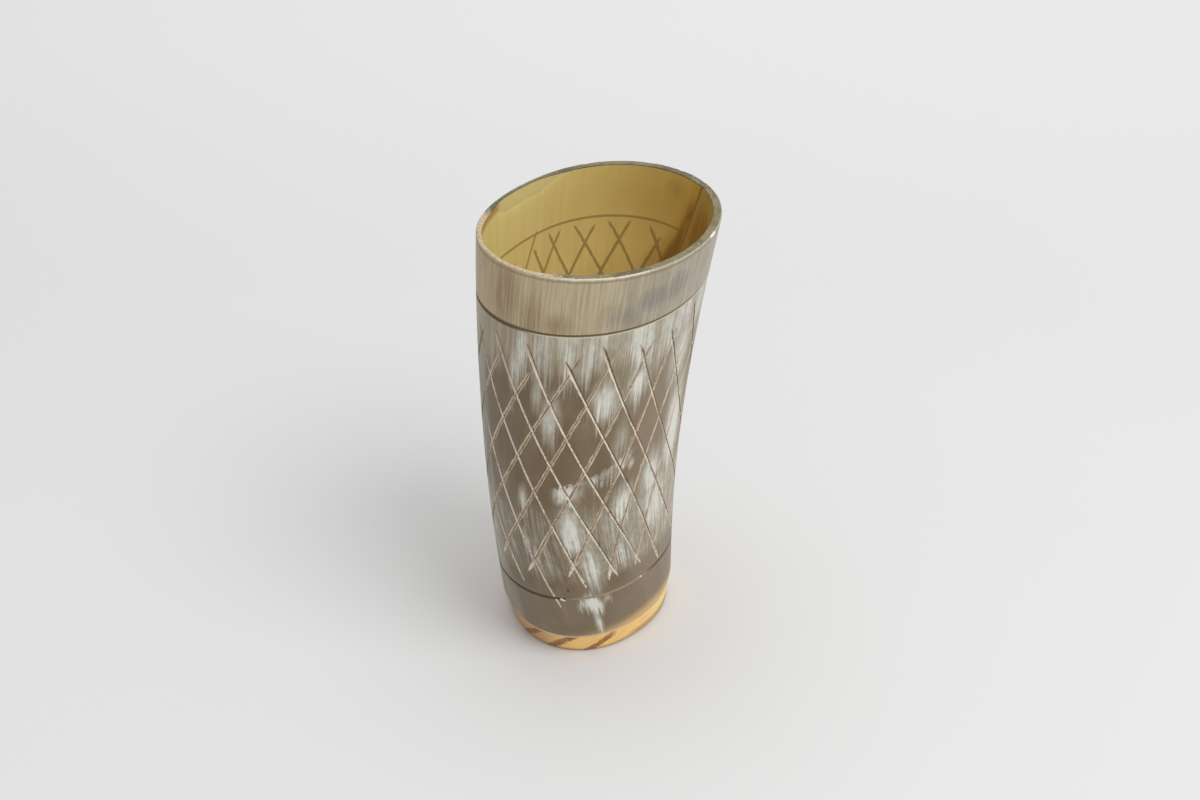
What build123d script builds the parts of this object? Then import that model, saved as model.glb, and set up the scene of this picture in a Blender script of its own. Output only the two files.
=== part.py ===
"""Horn drinking cup: a section of cattle horn on a pine plug, bonded and sealed with glue.

The cup stands on z = 0, with the middle of its rounded foot at the origin. The front of the cup faces -Y,
and the tube leans towards +X as it rises. Sizes are in millimetres and angles in degrees.
"""
import os
from math import cos, radians, sin, tau

from build123d import *

os.makedirs("parts", exist_ok=True)

# Heights above the surface that the cup stands on
cup_height = 150.0
waist_height = 75.0
horn_edge_height = 7.7
floor_height = 16.5
lower_ring_height = 28.8
upper_ring_height = 132.0

# Mean outside radius at foot, waist and rim
foot_radius = 29.5
waist_radius = 34.4
rim_radius = 37.7

# How much the long half axis exceeds the mean radius, and where the long axis points
waist_oval = 4.5
rim_oval = 3.5
waist_oval_turn = 67.0
rim_oval_turn = 54.0

# The three-sided swell left by the natural horn, and where one of its lobes points
foot_swell = 1.1
waist_swell = 0.35
rim_swell = 0.5
foot_swell_turn = 136.0
rim_swell_turn = 74.0

# The middle of the tube drifts away from the foot as the horn bends
waist_drift_y = -1.7
rim_drift_x = 5.8
rim_drift_y = 1.4

# Horn wall: the bore is a little off centre, so the left and front sides are thinner
rim_wall = 2.6
foot_wall = 3.4
bore_shift_x = -0.2
bore_shift_y = -0.3

# Worked edges of the horn
rim_outer_round = 0.8
rim_inner_round = 0.6
skirt_bevel_height = 5.0
skirt_bevel_depth = 1.1

# Scribed rings round the outside
ring_width = 0.7
ring_depth = 0.5

# Pine plug: it stands in from the line of the horn, a little more at the foot, with a rounded edge
plug_top_inset = 1.3
plug_foot_inset = 1.5
plug_round = 1.2

# Glue between spigot and bore, and the bead round the floor
glue_film = 0.4
glue_bead_height = 2.4
glue_bead_width = 2.8
glue_bead_edge = 0.3
bond_clearance = 0.05

# Smoothness of the natural outline: points round each section, and the distance between sections
points_round = 16
section_spacing = 36.0


def blend(height, at_foot, at_waist, at_rim):
    """The parabola up the cup through the values at foot, waist and rim."""
    below = height - waist_height
    above = height - cup_height
    foot_share = below * above / (waist_height * cup_height)
    waist_share = height * above / (waist_height * (waist_height - cup_height))
    rim_share = height * below / (cup_height * (cup_height - waist_height))
    return at_foot * foot_share + at_waist * waist_share + at_rim * rim_share


def outline(height, inset=0.0, shift_x=0.0, shift_y=0.0):
    """Points round the horn's outside at a height, moved in by inset and sideways by the shifts."""
    mean = blend(height, foot_radius, waist_radius, rim_radius) - inset
    oval = blend(height, 0, waist_oval, rim_oval)
    oval_turn = radians(blend(height, waist_oval_turn, waist_oval_turn, rim_oval_turn))
    swell = blend(height, foot_swell, waist_swell, rim_swell)
    swell_turn = radians(foot_swell_turn + (rim_swell_turn - foot_swell_turn) * height / cup_height)
    middle_x = blend(height, 0, 0, rim_drift_x) + shift_x
    middle_y = blend(height, 0, waist_drift_y, rim_drift_y) + shift_y
    points = []
    for step in range(points_round):
        turn = tau * step / points_round
        radius = mean + oval * cos(2 * (turn - oval_turn)) + swell * cos(3 * (turn - swell_turn))
        points.append((middle_x + radius * cos(turn), middle_y + radius * sin(turn)))
    return points


def wall(height):
    """Horn thickness at a height: thicker towards the foot."""
    return foot_wall + (rim_wall - foot_wall) * height / cup_height


def levels(low, high):
    """Heights spread evenly from low to high, about a section spacing apart."""
    steps = round((high - low) / section_spacing)
    return [low + (high - low) * step / steps for step in range(steps + 1)]


def section(height, inset=0.0, shift_x=0.0, shift_y=0.0):
    """A closed sketch of the horn's outline at a height."""
    with BuildSketch(Plane.XY.offset(height)) as slice_of_horn:
        with BuildLine():
            Spline(*outline(height, inset, shift_x, shift_y), periodic=True)
        make_face()
    return slice_of_horn.sketch


def bore_section(height, inset=0.0):
    """A closed sketch of the bore at a height, made smaller by inset."""
    return section(height, wall(height) + inset, bore_shift_x, bore_shift_y)


# Horn tube: outside, worked lower edge, bore, rounded lip and two scribed rings
horn_heights = levels(horn_edge_height, cup_height)
with BuildPart() as horn_wall:
    loft([section(height) for height in horn_heights])
    outside = horn_wall.faces().sort_by(SortBy.AREA)[-1]
    skirt_edge = horn_wall.edges().group_by(Axis.Z)[0]
    chamfer(skirt_edge, skirt_bevel_height, skirt_bevel_depth, reference=outside)
    loft([bore_section(height) for height in horn_heights], mode=Mode.SUBTRACT)
    outer_lip = horn_wall.edges().group_by(Axis.Z)[-1].sort_by(SortBy.LENGTH)[-1]
    fillet(outer_lip, rim_outer_round)
    inner_lip = horn_wall.edges().group_by(Axis.Z)[-1].sort_by(SortBy.LENGTH)[0]
    fillet(inner_lip, rim_inner_round)
    for ring_height in (lower_ring_height, upper_ring_height):
        with BuildSketch(Plane.XY.offset(ring_height - ring_width / 2)):
            Circle(2 * rim_radius)
            with BuildLine():
                Spline(*outline(ring_height, ring_depth), periodic=True)
            make_face(mode=Mode.SUBTRACT)
        extrude(amount=ring_width, mode=Mode.SUBTRACT)
horn_wall.part.label = "horn_wall"
export_step(horn_wall.part, "parts/horn_wall.step")

# Pine plug: a flange under the horn, and a spigot up inside it whose top is the cup's floor
with BuildPart() as wood_base:
    loft([section(0, plug_foot_inset), section(horn_edge_height, plug_top_inset)])
    fillet(wood_base.edges().group_by(Axis.Z)[0], plug_round)
    loft([bore_section(height, glue_film) for height in (horn_edge_height, floor_height)])
wood_base.part.label = "wood_base"
export_step(wood_base.part, "parts/wood_base.step")

# Glue: a film between spigot and bore, and a bead that seals the corner round the floor
bead_top = floor_height + glue_bead_height
spigot_room = glue_film - bond_clearance
with BuildPart() as glue_seal:
    loft([bore_section(height, bond_clearance) for height in (horn_edge_height, bead_top)])
    inside_film = [bore_section(height, spigot_room) for height in (horn_edge_height, floor_height)]
    loft(inside_film, mode=Mode.SUBTRACT)
    inside_bead = [bore_section(floor_height, glue_bead_width), bore_section(bead_top, glue_bead_edge)]
    loft(inside_bead, mode=Mode.SUBTRACT)
glue_seal.part.label = "glue_seal"
export_step(glue_seal.part, "parts/glue_seal.step")
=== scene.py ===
"""Horn drinking cup: the looks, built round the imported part.

Blender works in metres. The horn's sizes are given in millimetres and degrees, and MM turns them to metres.
"""
from collections import namedtuple
from functools import reduce
from math import cos, degrees, exp, radians, sin, sqrt

import bpy
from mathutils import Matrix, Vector, noise


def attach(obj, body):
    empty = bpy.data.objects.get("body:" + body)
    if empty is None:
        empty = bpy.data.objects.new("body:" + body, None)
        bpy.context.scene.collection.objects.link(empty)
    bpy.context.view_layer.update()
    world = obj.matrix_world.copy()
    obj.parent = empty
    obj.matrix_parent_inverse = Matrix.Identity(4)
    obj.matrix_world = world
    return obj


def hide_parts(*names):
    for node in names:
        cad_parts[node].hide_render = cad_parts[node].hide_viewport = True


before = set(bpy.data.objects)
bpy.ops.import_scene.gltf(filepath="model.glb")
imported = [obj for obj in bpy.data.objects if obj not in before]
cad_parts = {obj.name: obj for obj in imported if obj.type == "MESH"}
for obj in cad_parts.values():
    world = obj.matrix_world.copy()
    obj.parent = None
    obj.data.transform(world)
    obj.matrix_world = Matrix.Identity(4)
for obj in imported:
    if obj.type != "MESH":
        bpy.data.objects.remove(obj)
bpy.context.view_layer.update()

MM = 0.001

# Outline of the horn, as in the part: foot, waist and rim
CUP_HEIGHT = 150.0
WAIST_HEIGHT = 75.0
MEAN_RADIUS = (29.5, 34.4, 37.7)
OVAL = (0.0, 4.5, 3.5)
OVAL_TURN = (67.0, 67.0, 54.0)
SWELL = (1.1, 0.35, 0.5)
SWELL_TURN = (136.0, 74.0)
DRIFT_X = (0.0, 0.0, 5.8)
DRIFT_Y = (0.0, -1.7, 1.4)

# Wall and worked edges of the horn. The skin lies a hair inside the part, so that it never leaves the part's
# box. The skirt is the bevel above the lower edge, given by rows at these shares of its height.
HORN_EDGE = 7.7
FOOT_WALL = 3.4
RIM_WALL = 2.6
BORE_SHIFT_X = -0.2
BORE_SHIFT_Y = -0.3
SKIN_INSET = 0.03
SKIRT_HEIGHT = 5.0
SKIRT_DEPTH = 1.1
SKIRT_SHARES = (0, 0.35, 0.75, 1)
SKIRT_CURVE = 1.3
OUTER_ROUND = 0.9
OUTER_ROUND_BACK = 0.7
OUTER_ROUND_THIN = 0.4
INNER_ROUND = 0.4
ROUND_BENDS = (0, 30, 60, 90)
LIP_FRONT = 0.6

# Wear of the lip's outer edge and the nicks in it: depths, how steeply the wear runs down the outside, how
# fast both change round the lip, and the levels of the noise between which they grow
LIP_WEAR = 0.12
NICK_DEPTH = 0.3
THIN_LIP_NICK_DEPTH = 0.2
WEAR_STEEPNESS = 3
WEAR_PACE = 8
NICK_PACE = 6
WEAR_LEVELS = (-0.3, 0.6)
NICK_LEVELS = (0.3, 0.6)

# The bore is scraped back at the front left, so the lip is thin there: turns where this begins, is full,
# begins to ease and ends
THIN_LIP_TURNS = (172.0, 205.0, 240.0, 262.0)
THIN_LIP_DEPTH = 1.0
THIN_LIP_HEIGHT = 7.0

# Scribed rings, as they show outside and through the wall. The end of a ring's slope and its floor are
# shares of its half width.
RING_HEIGHTS = (28.8, 132.0)
RING_WIDTH = 0.9
RING_WIDTH_INSIDE = 0.85
RING_DEPTH = 0.5
RING_SLOPE_END = 1.3
RING_FLOOR = (0.25, 0.75)

# Rows of the skin between the skirt and the lower ring, and between the upper ring and the lip
FOOT_ROWS = 7
BAND_ROWS = 9

# Lattice: two families of cuts, each drawn by hand and so a little bent. The cell from one cut to the next
# has a fixed number of fine steps. Along a row of the skin the broad family leads the thin one by so many.
CELL_STEPS = 14
LATTICE_MIDDLE = 80.0
MM_PER_TURN_DEGREE = 0.6
CUT_LEAN_COSINE = 0.91
FOOT_STEP = 74
RIM_STEP = -53
TIP_LENGTH = 2.0
TIP_WIDTH = 0.6
TIP_CHALK = (2.0, 6.0)
ENTRY_LENGTH = 14.0
INNER_STRIP = 0.42
OUTER_STRIP = 2.2
LATTICE_HEIGHTS = (34.0, 130.0)
LATTICE_MARGINS = (4.3, 1.0)

# Raggedness of the cuts' edges and bottoms: how far the noise moves on from cut to cut, in a millimetre of
# height, and from one edge to the other or from the edges to the bottom
EDGE_NOISE_PER_CUT = 5.1
EDGE_NOISE_PER_MM = 0.8
OTHER_EDGE_NOISE = 3
BOTTOM_NOISE_PER_CUT = 3.7
BOTTOM_NOISE_PER_MM = 0.7
BOTTOM_NOISE = 20

# One cut: its turn at the middle height, its lean and bend in degrees of turn per millimetre and per square
# millimetre below that height, and the heights of its ends. A family of cuts has one half width, one depth,
# the shares of the depth on its strips from the middle outwards, how ragged it is, how much wider it is where
# the tool entered, and how much wider it shows through the wall.
Cut = namedtuple("Cut", "turn lean bend top bottom")
CutFamily = namedtuple("CutFamily", "cuts half_width depth profile ragged entry shadow seed")
THIN = CutFamily(
    cuts=(
        Cut(-160, 0.77, 0, 126, 33),
        Cut(-138, 0.66, 0, 127, 26),
        Cut(-116.5, 0.745, -0.0017, 125, 34),
        Cut(-99.5, 0.77, -0.0004, 127.5, 36),
        Cut(-83.7, 0.765, 0.0008, 127.5, 35.5),
        Cut(-66.5, 0.75, 0, 123, 30.5),
        Cut(-49.3, 0.83, 0.0027, 127.7, 35),
        Cut(-30, 0.97, 0.005, 124.5, 36),
        Cut(-7.5, 1.0, 0.004, 125, 35),
        Cut(12, 0.9, 0.003, 128.5, 36),
        Cut(31, 0.8, 0.001, 126, 34),
        Cut(50, 0.74, 0, 127, 36),
        Cut(70, 0.72, 0, 128, 35),
        Cut(89, 0.72, 0, 127.5, 33),
        Cut(111, 0.73, 0, 131, 35),
        Cut(129.5, 0.74, 0, 129.5, 36),
        Cut(149.5, 0.73, 0, 130, 34),
        Cut(169, 0.74, 0, 133, 35),
        Cut(185, 0.76, 0, 127, 36),
    ),
    half_width=0.43, depth=0.36, profile=(1.0, 0.55), ragged=0.3, entry=0.5, shadow=1.4, seed=2.0)
BROAD = CutFamily(
    cuts=(
        Cut(-165.5, 0.77, 0, 124.5, 42),
        Cut(-146.7, 0.8, 0, 118, 41),
        Cut(-128.5, 0.83, -0.0006, 125, 42),
        Cut(-108.8, 0.76, -0.001, 123.5, 41),
        Cut(-89.5, 0.735, 0, 124, 40),
        Cut(-69, 0.65, 0, 123.5, 41),
        Cut(-52.5, 0.61, 0.0041, 122, 36),
        Cut(-32, 0.6, 0.003, 124, 37),
        Cut(-10, 0.64, 0.001, 125, 40),
        Cut(4, 0.7, 0.001, 126, 42),
        Cut(18, 0.8, 0.002, 130, 41),
        Cut(40.3, 0.8, 0.0022, 130.5, 40),
        Cut(60.2, 0.8, 0.0018, 130.5, 42),
        Cut(80.5, 0.8, 0, 130.5, 41),
        Cut(94, 0.8, 0, 127, 40),
        Cut(114, 0.8, 0, 126, 42),
        Cut(134, 0.8, 0, 125, 41),
        Cut(155, 0.8, 0, 126, 42),
        Cut(176, 0.8, 0, 125, 40),
    ),
    half_width=0.62, depth=0.34, profile=(0.9, 1.0), ragged=0.6, entry=0.0, shadow=1.0, seed=9.0)

# A cut's shadow in the bore has shares of its own, and both families have the same number of cuts
SHOW_THROUGH = (1.0, 0.9)
CUT_COUNT = len(THIN.cuts)
COLUMNS = CUT_COUNT * CELL_STEPS

# Strips across a cut, by the fine step on their left: the left flank of a thin cut is painted lit and its
# other strips painted shade, and the rims of a broad one are bright. On the right of the cup, where the left
# flank turns away, the bottom of a thin cut is painted lit too.
LEFT_FLANK = (CELL_STEPS - 2, CELL_STEPS - 1)
LEFT_FLANK_AND_BOTTOM = LEFT_FLANK + (0,)
RIGHT_SIDE_TURNS = (-62.0, 60.0)
CUT_RIMS = (CELL_STEPS - 2, 1)

# Chip in the outer edge of the lip, at the right, painted near white as a glint
CHIP_GLINT_TURN = -20.0
CHIP_GLINT_HEIGHT = 149.5

# Flat shaved inside the lip at the back left, and the crease where the bore folds at the back right
FACET_TURNS = (108.0, 132.0, 156.0, 174.0)
FACET_HEIGHT = 4.6
FACET_DEPTH = 1.2
CREASE_TURN = 32.0
CREASE_LEAN = 0.4
CREASE_TOP = 148.0
CREASE_BOTTOM = 100.0
CREASE_WIDTH = 1.6
CREASE_DEPTH = 0.5

# Below a height the fibres of the horn begin to lean, by this many degrees of turn per square millimetre, and
# after a length they lean no further
TWIST_START = 75.0
TWIST_LENGTH = 25.0
TWIST = 0.006

# Making of the mesh: points closer than this are merged, folds sharper than this stay sharp, and so many
# rows of the rounded lip keep the outside's finish
MERGE_DISTANCE = 0.000002
SHARP_FOLD = 25.0
OUTSIDE_LIP_ROWS = 2

# Studio
FLOOR_SIZE = 8
SKY_STRENGTH = 0.58
CAMERA_PLACE = (0.0051, -0.4057, 0.3575)
CAMERA_LOOKS_DOWN = 34.0
CAMERA_LENS = 45
CAMERA_SENSOR = 36

# The two sides of the wall, and one point of the skin: where it lies, how deep it is in a cut or a ring, and
# its steps along both families
OUTSIDE = 0
BORE = 1
Node = namedtuple("Node", "side turn height inset thin broad ring tip thin_step broad_step")


def blend(height, at_foot, at_waist, at_rim):
    """The parabola up the cup through the values at foot, waist and rim."""
    below = height - WAIST_HEIGHT
    above = height - CUP_HEIGHT
    foot_share = below * above / (WAIST_HEIGHT * CUP_HEIGHT)
    waist_share = height * above / (WAIST_HEIGHT * (WAIST_HEIGHT - CUP_HEIGHT))
    rim_share = height * below / (CUP_HEIGHT * (CUP_HEIGHT - WAIST_HEIGHT))
    return at_foot * foot_share + at_waist * waist_share + at_rim * rim_share


def between(value, low, high):
    """How far value lies from low to high, held between 0 and 1."""
    return min(1.0, max(0.0, (value - low) / (high - low)))


def smooth(share):
    """The share with its ends eased."""
    return share * share * (3 - 2 * share)


def wall(height):
    """Horn thickness at a height."""
    return FOOT_WALL + (RIM_WALL - FOOT_WALL) * height / CUP_HEIGHT


def lip_thinness(turn):
    """1 where the lip is scraped thin, at the front left, falling to 0 on both sides."""
    rise, full, ease, end = THIN_LIP_TURNS
    turn = turn % 360
    return smooth(between(turn, rise, full)) * smooth(between(turn, end, ease))


def bore_carving(turn, height):
    """How far the bore is cut into the wall by the lip's flat, the crease and the scraped, thin lip."""
    turn = (turn + 180) % 360 - 180
    rise, full, ease, end = FACET_TURNS
    facet_height = FACET_HEIGHT * smooth(between(turn, rise, full)) * smooth(between(turn, end, ease))
    facet = 0.0
    if facet_height > 0:
        facet = FACET_DEPTH * facet_height / FACET_HEIGHT
        facet *= between(height, CUP_HEIGHT - facet_height, CUP_HEIGHT)
    aside = (turn - CREASE_TURN - CREASE_LEAN * (CREASE_TOP - height)) * MM_PER_TURN_DEGREE
    crease = CREASE_DEPTH * exp(-(aside / CREASE_WIDTH) ** 2) * between(height, CREASE_BOTTOM, CREASE_TOP)
    scrape = THIN_LIP_DEPTH * lip_thinness(turn) * between(height, CUP_HEIGHT - THIN_LIP_HEIGHT, CUP_HEIGHT)
    return facet + crease + scrape


def horn_point(node):
    """Where a node of the horn's skin lies. Turn is even along the girth, so an oval shifts the angle."""
    height = node.height
    mean = blend(height, *MEAN_RADIUS)
    oval = blend(height, *OVAL)
    oval_turn = blend(height, *OVAL_TURN)
    swell_turn = SWELL_TURN[0] + (SWELL_TURN[1] - SWELL_TURN[0]) * height / CUP_HEIGHT
    squeeze = degrees(oval / (2 * mean))
    angle = node.turn - squeeze * sin(radians(2 * (node.turn - oval_turn)))
    radius = mean - node.inset - SKIN_INSET
    radius += oval * cos(radians(2 * (angle - oval_turn)))
    radius += blend(height, *SWELL) * cos(radians(3 * (angle - swell_turn)))
    middle_x = blend(height, *DRIFT_X)
    middle_y = blend(height, *DRIFT_Y)
    if node.side == BORE:
        radius += bore_carving(node.turn, height) + SKIN_INSET - wall(height)
        middle_x += BORE_SHIFT_X
        middle_y += BORE_SHIFT_Y
    x = middle_x + radius * cos(radians(angle))
    y = middle_y + radius * sin(radians(angle))
    return Vector((x, y, height)) * MM


def grain_point(turn, height):
    """The place of a point of the skin in straightened horn, where every fibre runs straight up."""
    below = max(0.0, TWIST_START - height)
    eased = min(below, TWIST_LENGTH)
    turn -= TWIST * eased * (2 * below - eased)
    return Vector((MEAN_RADIUS[1] * cos(radians(turn)), MEAN_RADIUS[1] * sin(radians(turn)), height)) * MM


def cut_number(index):
    """The number of the cut that lies nearest to a step along a family."""
    return ((index + CELL_STEPS // 2) // CELL_STEPS) % CUT_COUNT


def cut_fade(family, index, height):
    """1 along a cut, falling to 0 over its two tips."""
    cut = family.cuts[cut_number(index)]
    at_top = between(height, cut.top, cut.top - TIP_LENGTH)
    at_bottom = between(height, cut.bottom, cut.bottom + TIP_LENGTH)
    return at_top * at_bottom


def cut_tip(family, index, height):
    """1 at the lower tip of a cut, where the tool was levered out, falling to 0 above it."""
    cut = family.cuts[cut_number(index)]
    full, gone = TIP_CHALK
    return between(height, cut.bottom + gone, cut.bottom + full)


def cut_width(family, index, height, side):
    """The share of its full width that a cut has here: ragged, narrower at the tips, wider where it began."""
    number = cut_number(index)
    other_edge = index % CELL_STEPS < CELL_STEPS // 2
    seed = family.seed + OTHER_EDGE_NOISE * other_edge
    spot = Vector((EDGE_NOISE_PER_CUT * number, EDGE_NOISE_PER_MM * height, seed))
    top = family.cuts[number].top
    entry = 1 + family.entry * between(height, top - ENTRY_LENGTH, top - TIP_LENGTH)
    spread = entry if side == OUTSIDE else family.shadow
    narrowing = TIP_WIDTH + (1 - TIP_WIDTH) * cut_fade(family, index, height)
    return narrowing * spread * (1 + family.ragged * noise.noise(spot))


def cut_line(family, index, width):
    """Turn, lean and bend of one step along a family: fine steps across each cut, even ones between cuts."""
    cell, step = divmod(index, CELL_STEPS)
    first = family.cuts[cell % CUT_COUNT]
    second = family.cuts[(cell + 1) % CUT_COUNT]
    first_turn = first.turn + 360 * (cell // CUT_COUNT)
    second_turn = second.turn + 360 * ((cell + 1) // CUT_COUNT)
    half = family.half_width / ((second_turn - first_turn) * MM_PER_TURN_DEGREE * CUT_LEAN_COSINE)
    edge_shares = (0, INNER_STRIP * half * width, half * width, OUTER_STRIP * half)
    margin = len(edge_shares) - 1
    back_step = CELL_STEPS - step
    if step <= margin:
        share = edge_shares[step]
    elif back_step <= margin:
        share = 1 - edge_shares[back_step]
    else:
        share = edge_shares[-1] + (1 - 2 * edge_shares[-1]) * (step - margin) / (CELL_STEPS - 2 * margin)
    turn = first_turn + (second_turn - first_turn) * share
    lean = first.lean + (second.lean - first.lean) * share
    bend = first.bend + (second.bend - first.bend) * share
    return turn, lean, bend


def cut_depth(family, index, height, side):
    """The share of its full depth that a cut has at a step across it, or of its shadow in the bore."""
    step = index % CELL_STEPS
    off_middle = min(step, CELL_STEPS - step)
    profile = family.profile if side == OUTSIDE else SHOW_THROUGH
    if off_middle >= len(profile):
        return 0.0
    seed = BOTTOM_NOISE + family.seed
    spot = Vector((BOTTOM_NOISE_PER_CUT * cut_number(index), BOTTOM_NOISE_PER_MM * height, seed))
    return profile[off_middle] * cut_fade(family, index, height) * (1 + family.ragged * noise.noise(spot))


def kept_between_rings(height):
    """The height itself in the lattice, eased so that it never reaches a ring."""
    low, high = LATTICE_HEIGHTS
    low_margin, high_margin = LATTICE_MARGINS
    if height > high:
        return high + high_margin * (1 - exp((high - height) / high_margin))
    if height < low:
        return low - low_margin * (1 - exp((height - low) / low_margin))
    return height


def lattice_node(side, column, step):
    """The crossing of a fine line of each family. Step is how far the broad line leads the thin one.

    It is worked out twice, because the widths of the cuts depend on the height of the crossing.
    """
    thin_width = broad_width = 1.0
    for _ in range(2):
        thin_turn, thin_lean, thin_bend = cut_line(THIN, column, thin_width)
        broad_turn, broad_lean, broad_bend = cut_line(BROAD, column + step, broad_width)
        apart = broad_turn - thin_turn
        leans = thin_lean + broad_lean
        root = sqrt(max(0.0, leans ** 2 + 4 * (thin_bend - broad_bend) * apart))
        height = kept_between_rings(LATTICE_MIDDLE - 2 * apart / (leans + root))
        thin_width = cut_width(THIN, column, height, side)
        broad_width = cut_width(BROAD, column + step, height, side)
    below = LATTICE_MIDDLE - height
    turn = thin_turn + thin_lean * below + thin_bend * below ** 2
    thin = cut_depth(THIN, column, height, side)
    broad = cut_depth(BROAD, column + step, height, side)
    inset = max(thin * THIN.depth, broad * BROAD.depth) if side == OUTSIDE else 0.0
    tip = cut_tip(THIN, column, height) if thin > broad else cut_tip(BROAD, column + step, height)
    return Node(side, turn, height, inset, thin, broad, 0.0, tip, column, column + step)


def level_row(side, height, inset=0.0, ring=0.0):
    """A row of nodes at one height, on the thin family's lines carried on up or down."""
    row = []
    below = LATTICE_MIDDLE - kept_between_rings(height)
    past = kept_between_rings(height) - height
    for column in range(COLUMNS + 1):
        turn, lean, bend = cut_line(THIN, column, cut_width(THIN, column, height, side))
        turn += lean * (below + past) + bend * below ** 2
        thin = cut_depth(THIN, column, height, side)
        slip = thin * THIN.depth if side == OUTSIDE else 0.0
        tip = cut_tip(THIN, column, height)
        row.append(Node(side, turn, height, max(inset, slip), thin, 0.0, ring, tip, column, 0))
    return row


def ring_rows(side, height):
    """A scribed ring: a steep upper lip, a flat bottom and a lower lip that slopes out."""
    depth = RING_DEPTH if side == OUTSIDE else 0.0
    lip = (RING_WIDTH if side == OUTSIDE else RING_WIDTH_INSIDE) / 2
    floor_below, floor_above = RING_FLOOR
    return [
        level_row(side, height - RING_SLOPE_END * lip),
        level_row(side, height - floor_below * lip, depth, 1.0),
        level_row(side, height + floor_above * lip, depth, 1.0),
        level_row(side, height + lip),
    ]


def steps(low, high, count):
    """Values spread evenly from low to high, both left out."""
    return [low + (high - low) * (number + 1) / (count + 1) for number in range(count)]


def side_rows(side):
    """Rows up one side of the horn wall, from above its lower edge to below its lip."""
    lower, upper = RING_HEIGHTS
    lip = RING_WIDTH / 2
    rows = [level_row(side, height) for height in steps(HORN_EDGE + SKIRT_HEIGHT, lower - lip, FOOT_ROWS)]
    rows += ring_rows(side, lower)
    for step in range(FOOT_STEP, RIM_STEP - 1, -1):
        rows.append([lattice_node(side, column, step) for column in range(COLUMNS + 1)])
    rows += ring_rows(side, upper)
    for height in steps(upper + lip, CUP_HEIGHT - OUTER_ROUND, BAND_ROWS):
        rows.append(level_row(side, height))
    return rows


def lip_round(turn):
    """The radius of the lip's outer edge, most worn at the front and sharper where the lip is thin."""
    front = smooth(between(-sin(radians(turn)), -LIP_FRONT, LIP_FRONT))
    radius = OUTER_ROUND_BACK + (OUTER_ROUND - OUTER_ROUND_BACK) * front
    return radius + (OUTER_ROUND_THIN - radius) * lip_thinness(turn)


def lip_wear(turn):
    """How far the outer edge of the lip is worn down, in millimetres: mostly a little, with a few nicks."""
    spot = Vector((WEAR_PACE * cos(radians(turn)), WEAR_PACE * sin(radians(turn)), 4.0))
    nick = between(noise.noise(NICK_PACE * spot), *NICK_LEVELS)
    nick_depth = NICK_DEPTH + THIN_LIP_NICK_DEPTH * lip_thinness(turn)
    return LIP_WEAR * between(noise.noise(spot), *WEAR_LEVELS) + nick_depth * nick


def lip_rows():
    """The lip: a rounded and worn outer edge, a flat and a rounded inner edge."""
    rows = []
    for bend in ROUND_BENDS:
        row = level_row(OUTSIDE, CUP_HEIGHT - OUTER_ROUND * (1 - sin(radians(bend))))
        for number, node in enumerate(row):
            wear = lip_wear(node.turn) * bend / 90
            rounding = lip_round(node.turn)
            height = CUP_HEIGHT - rounding * (1 - sin(radians(bend))) - wear
            inset = rounding * (1 - cos(radians(bend))) + wear / WEAR_STEEPNESS
            row[number] = node._replace(height=height, inset=inset)
        rows.append(row)
    for bend in ROUND_BENDS[::-1]:
        height = CUP_HEIGHT - INNER_ROUND * (1 - sin(radians(bend)))
        rows.append(level_row(BORE, height, -INNER_ROUND * (1 - cos(radians(bend)))))
    return rows


def horn_rows():
    """The rows of the horn's skin: up the outside, over the lip, down the bore and back to the lower edge."""
    outside = []
    for share in SKIRT_SHARES:
        inset = SKIRT_DEPTH * (1 - share) ** SKIRT_CURVE
        outside.append(level_row(OUTSIDE, HORN_EDGE + SKIRT_HEIGHT * share, inset))
    outside += side_rows(OUTSIDE)
    bore = side_rows(BORE)[::-1]
    bore.append(level_row(BORE, HORN_EDGE))
    return outside, lip_rows(), bore, [outside[0]]


def select_faces(mesh, chosen):
    """Selects the chosen faces and nothing else. Leaves the object in edit mode."""
    bpy.ops.object.mode_set(mode="EDIT")
    bpy.ops.mesh.select_mode(type="FACE")
    bpy.ops.mesh.select_all(action="DESELECT")
    bpy.ops.object.mode_set(mode="OBJECT")
    for face in mesh.polygons:
        face.select = chosen(face)
    bpy.ops.object.mode_set(mode="EDIT")


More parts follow.
